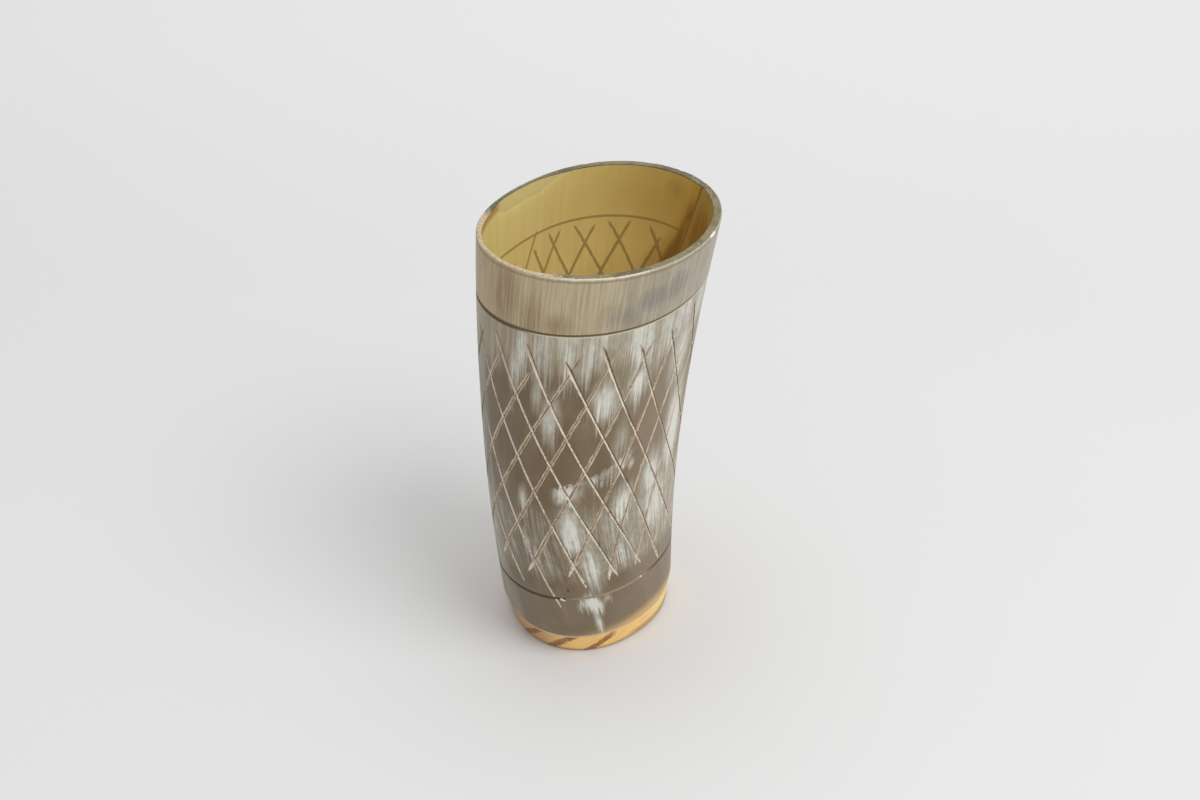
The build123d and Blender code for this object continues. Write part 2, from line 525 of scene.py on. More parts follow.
def make_horn():
    """The horn tube: a flat grid wrapped round and closed on itself, with its cuts along the grid's lines."""
    outside, lip, bore, close = horn_rows()
    rows = outside + lip + bore + close
    bpy.ops.object.select_all(action="DESELECT")
    bpy.ops.mesh.primitive_grid_add(x_subdivisions=COLUMNS, y_subdivisions=len(rows) - 1, size=2)
    horn = bpy.context.object
    horn.name = "horn_tube"
    mesh = horn.data
    nodes = [node for row in rows for node in row]
    mesh.attributes.new("grain", "FLOAT_VECTOR", "POINT")
    mesh.attributes.new("cut", "FLOAT", "POINT")
    mesh.attributes.new("tip", "FLOAT", "POINT")
    grain = mesh.attributes["grain"]
    cut = mesh.attributes["cut"]
    tip = mesh.attributes["tip"]
    for number, node in enumerate(nodes):
        mesh.vertices[number].co = horn_point(node)
        grain.data[number].vector = grain_point(node.turn, node.height)
        cut.data[number].value = max(node.thin, node.broad, node.ring)
        tip.data[number].value = node.tip

    # The diagonals of the lattice's squares are the broad family's lines, which turn round in the bore
    columns = COLUMNS + 1
    bore_start = len(outside) + len(lip)
    select_faces(mesh, lambda face: min(face.vertices) // columns >= bore_start)
    bpy.ops.mesh.quads_convert_to_tris(quad_method="FIXED_ALTERNATE", ngon_method="BEAUTY")
    bpy.ops.object.mode_set(mode="OBJECT")
    select_faces(mesh, lambda face: max(face.vertices) // columns < len(outside))
    bpy.ops.mesh.quads_convert_to_tris(quad_method="FIXED", ngon_method="BEAUTY")
    bpy.ops.object.mode_set(mode="OBJECT")

    finishes = list(HORN_FINISHES)
    for finish in HORN_FINISHES.values():
        mesh.materials.append(finish.material)
    for face in mesh.polygons:
        corners = [nodes[vertex] for vertex in face.vertices]
        row = min(face.vertices) // columns
        finish = "horn_outside"
        if row >= bore_start - 1:
            finish = "horn_inside"
        elif row >= len(outside) + OUTSIDE_LIP_ROWS:
            finish = "horn_lip"
        elif max(node.ring for node in corners) > 0:
            finish = "scribed_ring"
        # A thin cut's lit flank gets painted light, and its other strips get painted shade
        elif max(node.thin for node in corners) > 0:
            strip = min(node.thin_step for node in corners) % CELL_STEPS
            on_right = RIGHT_SIDE_TURNS[0] < (corners[0].turn + 180) % 360 - 180 < RIGHT_SIDE_TURNS[1]
            bright = LEFT_FLANK_AND_BOTTOM if on_right else LEFT_FLANK
            finish = "cut_painted_lit_flank" if strip in bright else "cut_painted_shade"
        elif max(node.broad for node in corners) > 0:
            strip = min(node.broad_step for node in corners) % CELL_STEPS
            finish = "cut_rim" if strip in CUT_RIMS else "cut_floor"
        face.material_index = finishes.index(finish)
    bpy.ops.object.mode_set(mode="EDIT")
    bpy.ops.mesh.select_all(action="SELECT")
    bpy.ops.mesh.remove_doubles(threshold=MERGE_DISTANCE)
    bpy.ops.object.mode_set(mode="OBJECT")
    bpy.ops.object.shade_smooth_by_angle(angle=radians(SHARP_FOLD))
    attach(horn, "root")
    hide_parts("horn_wall")


# How far a soft patch reaches, in half sizes, and how far dirt beside a ring reaches and is full, in metres
PATCH_REACH = 1.8
SMEAR_REACH = 0.001
SMEAR_FULL = 0.0006


class Value:
    """A shader socket that takes part in Python sums."""

    def __init__(self, finish, socket):
        self.finish = finish
        self.socket = socket

    def math(self, operation, first, second):
        return self.finish.node("ShaderNodeMath", {"operation": operation}, {0: first, 1: second}).value()

    def __add__(self, other):
        return self.math("ADD", self, other)

    def __radd__(self, other):
        return self.math("ADD", other, self)

    def __sub__(self, other):
        return self.math("SUBTRACT", self, other)

    def __rsub__(self, other):
        return self.math("SUBTRACT", other, self)

    def __mul__(self, other):
        return self.math("MULTIPLY", self, other)

    def __rmul__(self, other):
        return self.math("MULTIPLY", other, self)

    def at_least(self, other):
        return self.math("MAXIMUM", self, other)


class Step:
    """One shader node, from which outputs are taken."""

    def __init__(self, finish, node):
        self.finish = finish
        self.node = node

    def value(self, name=0):
        return Value(self.finish, self.node.outputs[name])


class Finish:
    """A procedural material, built node by node."""

    def __init__(self, name):
        self.material = bpy.data.materials.new(name)
        self.material.use_nodes = True
        self.tree = self.material.node_tree
        self.tree.nodes.clear()

    def node(self, kind, settings, inputs):
        """Adds a node of a kind: its settings are made first, then its sockets get values or links."""
        node = self.tree.nodes.new(kind)
        for name, setting in settings.items():
            setattr(node, name, setting)
        for name, given in inputs.items():
            if isinstance(given, Value):
                self.tree.links.new(given.socket, node.inputs[name])
            else:
                node.inputs[name].default_value = given
        return Step(self, node)

    def attribute(self, name, output):
        return self.node("ShaderNodeAttribute", {"attribute_name": name}, {}).value(output)

    def grain(self):
        """The place in straightened horn."""
        return self.attribute("grain", "Vector")

    def object_place(self):
        """The place in the part's own frame."""
        return self.node("ShaderNodeTexCoord", {}, {}).value("Object")

    def axes(self, place):
        """The three coordinates of a place."""
        step = self.node("ShaderNodeSeparateXYZ", {}, {0: place})
        return step.value("X"), step.value("Y"), step.value("Z")

    def noise(self, place, scale, detail=3.0, roughness=0.55, shift=(0, 0, 0)):
        """Noise over a place, stretched by its own scale along each axis, per metre."""
        inputs = {"Vector": place, "Scale": scale, "Location": shift}
        scaled = self.node("ShaderNodeMapping", {}, inputs).value()
        inputs = {"Vector": scaled, "Scale": 1.0, "Detail": detail, "Roughness": roughness}
        return self.node("ShaderNodeTexNoise", {}, inputs).value("Fac")

    def ramp(self, value, low, high, start=0.0, end=1.0):
        """A smooth change from start to end as value goes from low to high."""
        inputs = {"Value": value, "From Min": low, "From Max": high, "To Min": start, "To Max": end}
        return self.node("ShaderNodeMapRange", {"interpolation_type": "SMOOTHSTEP"}, inputs).value()

    def level(self, value, low, high):
        """A straight change from 0 to 1 as value goes from low to high."""
        inputs = {"Value": value, "From Min": low, "From Max": high}
        return self.node("ShaderNodeMapRange", {}, inputs).value()

    def mix(self, share, first, second):
        """A colour part way from first to second."""
        step = self.node("ShaderNodeMix", {"data_type": "RGBA"}, {0: share, 6: first, 7: second})
        return step.value(2)

    def patch(self, place, turn, height, half_width, half_height):
        """1 in the middle of a patch of the horn's skin, falling softly to 0 outside it."""
        middle = grain_point(turn, height)
        away = self.node("ShaderNodeVectorMath", {"operation": "SUBTRACT"}, {0: place, 1: middle}).value()
        size = (1 / (half_width * MM), 1 / (half_width * MM), 1 / (half_height * MM))
        scaled = self.node("ShaderNodeVectorMath", {"operation": "MULTIPLY"}, {0: away, 1: size}).value()
        distance = self.node("ShaderNodeVectorMath", {"operation": "LENGTH"}, {0: scaled}).value("Value")
        return self.ramp(distance, PATCH_REACH, 0.0)

    def clouds(self, place, patches):
        """The strongest of several soft patches."""
        shares = [strength * self.patch(place, *patch) for *patch, strength in patches]
        return reduce(Value.at_least, shares)

    def raised(self, place, lift):
        """The place, moved up by lift."""
        up = self.node("ShaderNodeCombineXYZ", {}, {"Z": lift}).value()
        return self.node("ShaderNodeVectorMath", {"operation": "ADD"}, {0: place, 1: up}).value()

    def sliver(self, place):
        """1 in the pale sliver that a slip of the tool left beside the lower ring."""
        across = self.axes(place)[0]
        slanted = self.raised(place, 0.35 * (across + 0.0121))
        return self.ramp(self.patch(slanted, -100, 28.2, 0.95, 0.36), 0.25, 0.5)

    def beside(self, height, ring):
        """1 close to a ring, above and below it."""
        below = self.ramp(height, ring - SMEAR_REACH, ring - SMEAR_FULL)
        return below * self.ramp(height, ring + SMEAR_REACH, ring + SMEAR_FULL)

    def bump(self, height, distance):
        return self.node("ShaderNodeBump", {}, {"Height": height, "Distance": distance}).value()

    def shade(self, inputs):
        """Ends the material with one shader."""
        shader = self.node("ShaderNodeBsdfPrincipled", {}, inputs)
        self.node("ShaderNodeOutputMaterial", {}, {"Surface": shader.value()})


def rgb(red, green, blue):
    return (red, green, blue, 1.0)


# Colours that several finishes share
FRESH_CHALK = rgb(0.84, 0.75, 0.63)
FRESH_CHIP = rgb(0.86, 0.78, 0.66)
RING_DIRT = rgb(0.1, 0.066, 0.032)

# Year rings of the pine: how many to a metre, and the count at the middle of the foot
YEARS_PER_METRE = 156.25
FIRST_YEAR = 4.766

# Roughness and grit of a cut's dry horn
CUT_ROUGHNESS = 0.8
CUT_GRIT = 0.0002

# Pale clouds in the horn: turn, height, half width, half height, strength
PALE_PATCHES = (
    (-124, 120, 2.6, 10, 0.75),
    (-105, 104, 3.2, 10, 0.72),
    (-112, 112, 2.0, 8, 0.6),
    (-79, 109, 4.6, 8, 0.9),
    (-62, 113, 4.4, 8, 0.85),
    (-89, 126, 5.0, 6, 0.65),
    (-70, 126, 6.0, 7, 0.7),
    (-50, 122, 6.0, 9, 0.65),
    (-68, 92, 3.4, 10, 0.5),
    (-24, 84, 6.5, 20, 1.1),
    (-120, 70, 1.8, 6, 0.75),
    (-93, 58, 4.4, 12, 1.05),
    (-83, 44, 4.4, 13, 0.8),
    (-64, 66, 4.6, 9, 0.95),
    (-44, 72, 5.5, 10, 0.95),
    (-37, 57, 10.0, 16, 0.95),
    (-64, 46, 4.0, 8, 0.75),
    (-107, 47, 1.6, 11, 0.6),
    (-113, 46, 1.4, 9, 0.65),
    (-119, 51, 1.8, 8, 0.7),
    (-129, 48, 1.8, 8, 0.5),
    (-82, 25, 3.4, 4.6, 1.25),
    (-88, 24.5, 2.2, 3.0, 0.8),
    (-73, 26, 2.4, 2.4, 0.6),
    (-79, 15, 1.6, 7, 0.85),
    (-30, 114, 7.0, 13, 0.85),
    (20, 95, 10.0, 28, 0.85),
    (55, 66, 9.0, 22, 0.8),
    (100, 100, 8.0, 18, 0.85),
    (128, 58, 8.0, 20, 0.8),
    (165, 90, 7.0, 24, 0.85),
    (-170, 112, 6.0, 15, 0.8),
    (70, 20, 6.0, 9, 0.7),
    (-150, 48, 4.5, 16, 0.6),
)

# Bright spots under the torn edge of a pale sheet in the horn, in the middle of the front
TORN_PATCHES = (
    (-96, 75.4, 4.0, 4.8, 1.05),
    (-82.5, 80.0, 2.2, 1.8, 0.8),
    (-67.5, 83.6, 2.4, 3.4, 0.86),
    (-61, 82.2, 1.4, 2.0, 0.7),
)

# Darker clouds in the band above the upper ring, tan on the left and grey on the right
TAN_PATCHES = (
    (-133, 141, 5.0, 8, 1.0),
    (-117, 136, 3.6, 7, 0.95),
    (-104, 135, 5.0, 4, 0.85),
    (-84, 137, 3.0, 5, 0.5),
    (60, 140, 9.0, 7, 0.7),
    (150, 138, 8.0, 6, 0.7),
)
GREY_PATCHES = (
    (-73, 137, 6.5, 5, 0.85),
    (-61, 140, 7.5, 5, 1.0),
    (-47, 141, 7.0, 6, 1.05),
    (-25, 142, 9.0, 6, 0.65),
    (100, 138, 8.0, 6, 0.6),
)


def horn_outside():
    """Scraped and polished horn: brown, with pale clouds that break up into fibres."""
    finish = Finish("horn_outside")
    place = finish.grain()
    across, depth, height = finish.axes(place)
    hair = finish.noise(place, (2600, 2600, 80), 3.0, 0.6)
    fibre = finish.noise(place, (1300, 1300, 30), 3.0, 0.6, (3, 1, 7))
    wisp = finish.noise(place, (700, 700, 30), 3.0, 0.6, (5, 8, 2))
    cloud = finish.noise(place, (110, 110, 55), 3.0, 0.55, (9, 4, 2))
    broken = finish.noise(place, (500, 500, 330), 3.0, 0.65, (1, 6, 4))
    columns = finish.noise(place, (150, 150, 14), 2.0, 0.5, (2, 5, 3))

    # Each fibre starts and ends at its own height, so the clouds have combed edges
    lift = 0.014 * (fibre - 0.5) + 0.008 * (wisp - 0.5) + 0.005 * (hair - 0.5)
    combed = finish.raised(place, lift)
    mottled = finish.raised(place, 0.005 * (broken - 0.5) + 0.005 * (fibre - 0.5))

    # Density of the pale clouds: patches, the torn edge of a sheet, the zone under the ring and a low veil
    density = finish.ramp(cloud, 0.52, 0.8, 0.0, 0.45)
    density = density.at_least(finish.clouds(combed, PALE_PATCHES))
    slope = height - 0.32 * across - 11.6 * across * across
    under = finish.ramp(slope + 0.009 * (broken - 0.5), 0.0802, 0.0794)
    torn = under * finish.ramp(slope + lift, 0.0685, 0.079)
    torn = torn * finish.ramp(across, -0.009, -0.006) * finish.ramp(across, 0.019, 0.015)
    density = density.at_least(torn * (0.9 * broken))
    density = density.at_least(under * finish.clouds(mottled, TORN_PATCHES))
    upper = finish.ramp(height + lift + 0.02 * (columns - 0.5), 0.106, 0.126)
    left = finish.ramp(across + 0.012 * (columns - 0.5), -0.019, -0.027)
    density = density.at_least(upper * (0.32 + 0.72 * columns) * (1 - 0.5 * left))
    low = finish.ramp(height, 0.078, 0.06) * finish.ramp(height, 0.031, 0.042)
    veil = 0.16 + 0.3 * columns + finish.ramp(across, -0.006, 0.012, 0.0, 0.2)
    density = density.at_least(low * veil)
    streaks = 0.4 * (wisp - 0.5) + 0.9 * (fibre - 0.5) + 0.9 * (hair - 0.5) + 0.6 * (broken - 0.5)
    glow = density + (0.15 + 0.85 * density + 0.35 * low) * streaks

    # Ground: brown and smooth, through beige to white with the density
    brown = finish.mix(finish.ramp(cloud, 0.36, 0.66), rgb(0.158, 0.104, 0.048), rgb(0.205, 0.15, 0.082))
    # Paler towards the right, partly paler horn and partly a painted sheen; darker towards the left, painted
    # shade
    brown = finish.mix(finish.ramp(across, 0.006, 0.024, 0.0, 0.55), brown, rgb(0.29, 0.215, 0.14))
    brown = finish.mix(finish.ramp(across, -0.012, -0.022, 0.0, 0.45), brown, rgb(0.12, 0.085, 0.045))
    far_left = finish.ramp(across + 0.03 * (columns - 0.5), -0.025, -0.032) * finish.ramp(depth, 0.01, 0.0)
    brown = finish.mix(far_left * (0.3 + fibre), brown, rgb(0.27, 0.245, 0.19))
    brown = finish.mix(finish.ramp(height, 0.036, 0.026, 0.0, 0.45), brown, rgb(0.23, 0.172, 0.108))
    ground = finish.mix(finish.ramp(glow, 0.1, 0.64), brown, rgb(0.38, 0.34, 0.265))
    ground = finish.mix(finish.ramp(glow, 0.46, 1.04), ground, rgb(0.74, 0.73, 0.65))
    warm = left.at_least(finish.ramp(columns, 0.5, 0.36, 0.0, 0.6)) * finish.ramp(height, 0.112, 0.124)
    ground = finish.mix(warm * 0.5, ground, rgb(0.36, 0.27, 0.15))
    pit = finish.patch(place, -96.5, 33.0, 0.45, 0.7)
    ground = finish.mix(finish.ramp(pit, 0.3, 0.7), ground, rgb(0.05, 0.028, 0.012))
    ground = finish.mix(finish.sliver(place), ground, FRESH_CHIP)

    # The band above the upper ring: cream, with tan and grey clouds and fine streaks
    band = finish.mix(finish.ramp(across, -0.03, -0.006), rgb(0.43, 0.31, 0.155), rgb(0.45, 0.375, 0.22))
    blotch = 0.5 * (broken - 0.5) + 0.5 * (wisp - 0.5) + 0.6 * (fibre - 0.5)
    tan = (0.45 * finish.ramp(cloud, 0.5, 0.34)).at_least(finish.clouds(place, TAN_PATCHES))
    band = finish.mix(finish.ramp(tan + blotch, 0.0, 1.0), band, rgb(0.29, 0.19, 0.09))
    band = finish.mix(finish.ramp(across, 0.008, 0.03, 0.0, 0.6), band, rgb(0.47, 0.435, 0.36))
    grey = (0.5 * finish.ramp(across, 0.0, 0.012)).at_least(finish.clouds(place, GREY_PATCHES))
    band = finish.mix(finish.ramp(grey + blotch, 0.0, 1.0), band, rgb(0.24, 0.205, 0.172))
    pale = 0.5 * fibre + 0.5 * hair
    band = finish.mix(finish.ramp(pale, 0.5, 0.36, 0.0, 0.4), band, rgb(0.29, 0.23, 0.14))
    band = finish.mix(finish.ramp(pale, 0.47, 0.64, 0.0, 0.5), band, rgb(0.6, 0.53, 0.38))
    colour = finish.mix(finish.ramp(height, 0.1315, 0.1325, 0.0, 0.92), ground, band)

    # Dirt rubbed in along both rings on the left, with less along the upper one
    lower_ring, upper_ring = [ring * MM for ring in RING_HEIGHTS]
    smear = finish.beside(height, lower_ring).at_least(0.6 * finish.beside(height, upper_ring))
    smear = smear * finish.ramp(across, -0.01, -0.02)
    colour = finish.mix(smear * 0.8, colour, RING_DIRT)

    # The polished upper edge, painted as a highlight over a painted shadow line, with a chip in it painted as
    # a glint, the wood that shows through the thin lower edge with a painted glow, and the bare arris under
    # it
    edge = height + 0.0008 * (broken - 0.5)
    # Painted shadow: a dark line under the lip's outer edge
    shadow_under_lip_edge = finish.ramp(edge, 0.1482, 0.1487) * finish.ramp(edge, 0.1494, 0.149)
    colour = finish.mix(shadow_under_lip_edge * 0.55, colour, rgb(0.2, 0.165, 0.1))
    # Painted highlight on the lip's outer edge, at the front
    painted_lip_highlight = finish.ramp(edge, 0.1492, 0.1496) * (0.3 + 0.9 * cloud)
    painted_lip_highlight = painted_lip_highlight * finish.ramp(across, -0.02, -0.004) * finish.ramp(across, 0.02, 0.01, 0.25, 1.0)
    colour = finish.mix(painted_lip_highlight, colour, rgb(0.72, 0.62, 0.45))
    # Painted glint: the chip on the lip's edge, near white
    chip = finish.ramp(finish.patch(place, CHIP_GLINT_TURN, CHIP_GLINT_HEIGHT, 2.1, 0.55), 0.3, 0.7)
    colour = finish.mix(chip, colour, rgb(0.92, 0.88, 0.78))
    # The wood seen through the thin lower edge, with a painted glow that is stronger on the lit right
    skirt = finish.ramp(height - 0.1 * across, 0.0135, 0.008) * finish.ramp(across, -0.022, 0.014)
    colour = finish.mix(skirt * 0.9, colour, rgb(0.72, 0.45, 0.17))
    arris = finish.ramp(height + 0.001 * (broken - 0.5), 0.0092, 0.0084)
    arris = arris * finish.ramp(across, 0.014, -0.004, 0.3, 0.85)
    colour = finish.mix(arris, colour, rgb(0.74, 0.6, 0.4))
    rough = finish.ramp(fibre, 0.3, 0.7, 0.34, 0.46)
    normal = finish.bump(fibre + 0.5 * hair, 0.00005)
    finish.shade({"Base Color": colour, "Roughness": rough, "Normal": normal})
    return finish


def horn_lip():
    """The sawn and smoothed lip: olive grey with pale flecks, partly painted sparkle, and chipped to pale
    horn at the left.
    """
    finish = Finish("horn_lip")
    place = finish.object_place()
    fleck = finish.noise(place, (1100, 1100, 1100), 4.0, 0.7)
    zone = finish.noise(place, (90, 90, 90), 3.0)
    across, depth, _ = finish.axes(place)
    left = finish.ramp(across + 0.4 * depth + 0.01 * (zone - 0.5), -0.018, -0.026)
    left = left * finish.ramp(across + 0.8 * depth, -0.022, -0.029)
    colour = finish.mix(finish.ramp(zone, 0.38, 0.62), rgb(0.138, 0.12, 0.07), rgb(0.24, 0.205, 0.125))
    chipped = finish.mix(finish.ramp(fleck, 0.34, 0.5), rgb(0.22, 0.15, 0.08), rgb(0.56, 0.45, 0.3))
    colour = finish.mix(left, colour, chipped)
    # Pale flecks, partly painted sparkle
    colour = finish.mix(finish.ramp(fleck, 0.55, 0.7, 0.0, 0.85), colour, rgb(0.64, 0.54, 0.37))
    rough = finish.ramp(fleck, 0.3, 0.7, 0.45, 0.65)
    inputs = {"Base Color": colour, "Roughness": rough, "Normal": finish.bump(fleck, 0.00012)}
    finish.shade(inputs | {"Specular IOR Level": 0.15})
    return finish


def horn_inside():
    """The bore: golden as a painted glow for the light through the wall, paler on the lit left and amber in
    painted shade on the right, with the cuts outside showing as brown lines of painted shadow.
    """
    finish = Finish("horn_inside")
    place = finish.grain()
    line = finish.attribute("cut", "Fac")
    across, depth, height = finish.axes(place)
    fibre = finish.noise(place, (500, 500, 18), 4.0, 0.6)
    cloud = finish.noise(place, (60, 60, 20), 3.0)
    # Painted light and shade: pale gold on the lit left, amber on the shaded right, and brighter lower down
    amber = finish.ramp(across + 0.02 * (cloud - 0.5), -0.032, 0.03)
    gold = finish.mix(amber, rgb(0.79, 0.665, 0.262), rgb(0.535, 0.342, 0.07))
    gold = finish.mix(finish.ramp(height, 0.142, 0.112, 0.0, 0.85), gold, rgb(0.9, 0.725, 0.285))
    gold = finish.mix(finish.ramp(cloud, 0.45, 0.7, 0.0, 0.35), gold, rgb(0.84, 0.68, 0.3))
    gold = finish.mix(finish.ramp(fibre, 0.35, 0.75, 0.0, 0.25), gold, rgb(0.6, 0.43, 0.15))

    # The flat shaved inside the lip, with a painted highlight along its lower edge
    turn = finish.node("ShaderNodeMath", {"operation": "ARCTAN2"}, {0: depth, 1: across}).value()
    rise, full, ease, end = [radians(edge) for edge in FACET_TURNS]
    reach = FACET_HEIGHT * MM * finish.ramp(turn, rise, full) * finish.ramp(turn, end, ease)
    above = height + reach - CUP_HEIGHT * MM
    facet = finish.ramp(above, -0.0002, 0.0002)
    gold = finish.mix(facet * 0.8, gold, rgb(0.56, 0.46, 0.19))
    edge = facet * finish.ramp(above, 0.0008, 0.0002) * finish.level(reach, 0.0, 0.001)
    gold = finish.mix(edge * 0.35, gold, rgb(0.9, 0.8, 0.45))

    # Old stains under the lip, amber at the left end and olive by the crease
    left_stain = finish.ramp(finish.patch(place, 177, 149, 9, 6) + 0.5 * (fibre - 0.5), 0.2, 0.6)
    left_stain = left_stain * finish.ramp(height, 0.1468, 0.1488)
    gold = finish.mix(left_stain * 0.8, gold, rgb(0.4, 0.2, 0.035))
    gold = finish.mix(0.4 * finish.patch(place, 50, 145, 3.4, 3.0), gold, rgb(0.3, 0.19, 0.04))

    # The crease: a dark fold, smudged on its left and amber beyond, with streaked painted shade on its right,
    # where the wall lies in shadow. What the mouth hides lower down is plainer.
    aside = turn - radians(CREASE_TURN) - radians(CREASE_LEAN) / MM * (CREASE_TOP * MM - height)
    aside = aside + 0.05 * (fibre - 0.5)
    smudge = finish.noise(place, (250, 250, 60), 2.0, 0.5, (4, 4, 1))
    streak = finish.noise(place, (420, 420, 10), 3.0, 0.6, (6, 2, 8))
    deep = finish.ramp(height, 0.136, 0.116)
    shown = finish.ramp(height, 0.098, 0.118)
    amber_side = shown * finish.ramp(aside - 0.2 * deep, 0.22, 0.07) * finish.ramp(aside, 0.0, 0.02)
    dark = shown * finish.ramp(aside - 0.1 * deep, 0.125, 0.03) * finish.ramp(aside, -0.01, 0.015)
    dark = dark * finish.ramp(smudge + 0.35 * deep, 0.3, 0.54) * finish.ramp(height, 0.147, 0.137)
    fold = finish.ramp(aside, -0.035, -0.005) * finish.ramp(aside, 0.03, 0.0)
    shade_right_of_crease = finish.ramp(aside, 0.02, -0.03) * finish.ramp(aside, -1.6, -0.8)
    shade_right_of_crease = shade_right_of_crease * finish.ramp(height, 0.075, 0.122, 0.25, 1.0)
    shade_right_of_crease_tone = finish.mix(finish.ramp(streak, 0.4, 0.6), rgb(0.23, 0.1, 0.01), rgb(0.34, 0.17, 0.03))
    strip = finish.ramp(aside, -0.14, -0.07) * finish.ramp(height, 0.118, 0.13)
    shade_right_of_crease_tone = finish.mix(strip * 0.6, shade_right_of_crease_tone, rgb(0.38, 0.235, 0.075))
    shade_right_of_crease_tone = finish.mix(finish.ramp(height, 0.139, 0.148, 0.0, 0.5), shade_right_of_crease_tone, rgb(0.42, 0.3, 0.07))
    gold = finish.mix(shade_right_of_crease * 0.88, gold, shade_right_of_crease_tone)
    gold = finish.mix(amber_side * 0.5, gold, rgb(0.46, 0.24, 0.02))
    gold = finish.mix((0.75 * fold).at_least(0.75 * dark), gold, rgb(0.17, 0.08, 0.01))
    colour = finish.mix(finish.ramp(line, 0.02, 0.45, 0.0, 0.68), gold, rgb(0.27, 0.17, 0.055))
    finish.shade({"Base Color": colour, "Roughness": 0.42, "Normal": finish.bump(fibre, 0.00005)})
    return finish


def chalky_cut(name, chalk):
    """A lit flank or rim of a cut: dry, chalky, flecked horn, browner near the top, painted shade on the far
    left.
    """
    finish = Finish(name)
    place = finish.grain()
    across, _, height = finish.axes(place)
    fleck = finish.noise(place, (1600, 1600, 1200), 4.0, 0.7)
    patchy = finish.noise(place, (200, 200, 90), 2.0)
    worn = finish.ramp(height + 0.03 * (patchy - 0.5), 0.11, 0.126, 0.0, 0.65)
    dirt_and_shade = finish.ramp(fleck + 0.7 * (patchy - 0.5), 0.5, 0.64, 0.0, 0.75)
    # Painted shade: on the far left of the cup, turned from the light, the flank is darker
    painted_far_left_shade = finish.ramp(across, -0.026, -0.032, 0.0, 0.9)
    colour = finish.mix(dirt_and_shade.at_least(worn), chalk, rgb(0.36, 0.275, 0.18))
    colour = finish.mix(painted_far_left_shade, colour, rgb(0.2, 0.15, 0.095))
    finish.shade({"Base Color": colour, "Roughness": CUT_ROUGHNESS, "Normal": finish.bump(fleck, CUT_GRIT)})
    return finish


def cut_painted_shade():
    """The shaded flanks and floors of the thin cuts: brown painted shade, and chalky at the lower tips."""
    finish = Finish("cut_painted_shade")
    place = finish.grain()
    tip = finish.attribute("tip", "Fac")
    fleck = finish.noise(place, (1300, 1300, 700), 4.0, 0.7)
    # Painted shade: the brown of the strips of a thin cut that lie in shadow
    dirt_and_shade = finish.mix(finish.ramp(fleck, 0.36, 0.62), rgb(0.115, 0.078, 0.042), rgb(0.23, 0.17, 0.105))
    colour = finish.mix(tip * finish.ramp(fleck, 0.62, 0.45), dirt_and_shade, FRESH_CHALK)
    finish.shade({"Base Color": colour, "Roughness": CUT_ROUGHNESS, "Normal": finish.bump(fleck, CUT_GRIT)})
    return finish


def cut_floor():
    """The floors of the broad cuts: scraped brown horn with chalky crumbs, and chalky at the lower tips."""
    finish = Finish("cut_floor")
    place = finish.grain()
    tip = finish.attribute("tip", "Fac")
    fleck = finish.noise(place, (1500, 1500, 1100), 4.0, 0.7, (2, 7, 5))
    scraped = finish.mix(finish.ramp(fleck, 0.3, 0.55), rgb(0.165, 0.12, 0.07), rgb(0.31, 0.235, 0.155))
    colour = finish.mix(finish.ramp(fleck, 0.55, 0.66), scraped, rgb(0.66, 0.56, 0.43))
    colour = finish.mix(tip * finish.ramp(fleck, 0.36, 0.46), colour, FRESH_CHALK)
    finish.shade({"Base Color": colour, "Roughness": CUT_ROUGHNESS, "Normal": finish.bump(fleck, CUT_GRIT)})
    return finish


def scribed_ring():
    """A scribed line: dark with old dirt, rubbed pale along the right of the lower ring, and with a painted
    highlight on the upper ring's lips.
    """
    finish = Finish("scribed_ring")
    place = finish.grain()
    cut = finish.attribute("cut", "Fac")
    across, _, height = finish.axes(place)
    fleck = finish.noise(place, (700, 700, 700), 3.0, 0.6)
    lower = finish.ramp(height, 0.06, 0.05)
    rubbed = finish.ramp(across + 0.008 * (fleck - 0.5), -0.0125, -0.009) * lower
    rubbed = rubbed * finish.ramp(across + 0.006 * (fleck - 0.5), 0.0245, 0.0205)
    dirt_and_shade = finish.mix(finish.ramp(fleck, 0.35, 0.7), rgb(0.07, 0.045, 0.02), rgb(0.16, 0.11, 0.06))
    dirt_and_shade = finish.mix(lower, rgb(0.19, 0.135, 0.075), dirt_and_shade)
    floor = finish.mix(rubbed * 0.85, dirt_and_shade, rgb(0.48, 0.38, 0.29))
    lower_lip = finish.mix(rubbed, rgb(0.13, 0.092, 0.055), rgb(0.3, 0.23, 0.15))
    # Painted highlight: the upper ring's lips are cream, where the light catches its lower lip
    lip = finish.mix(lower, rgb(0.6, 0.52, 0.38), lower_lip)
    lip = finish.mix(finish.ramp(across, -0.012, -0.022), lip, RING_DIRT)
    colour = finish.mix(finish.ramp(cut, 0.2, 0.7), lip, floor)
    chip = finish.ramp(finish.patch(place, -47, 28.8, 0.5, 0.6), 0.3, 0.6)
    colour = finish.mix(chip.at_least(finish.sliver(place)), colour, FRESH_CHIP)
    finish.shade({"Base Color": colour, "Roughness": 0.7, "Normal": finish.bump(fleck, 0.0001)})
    return finish


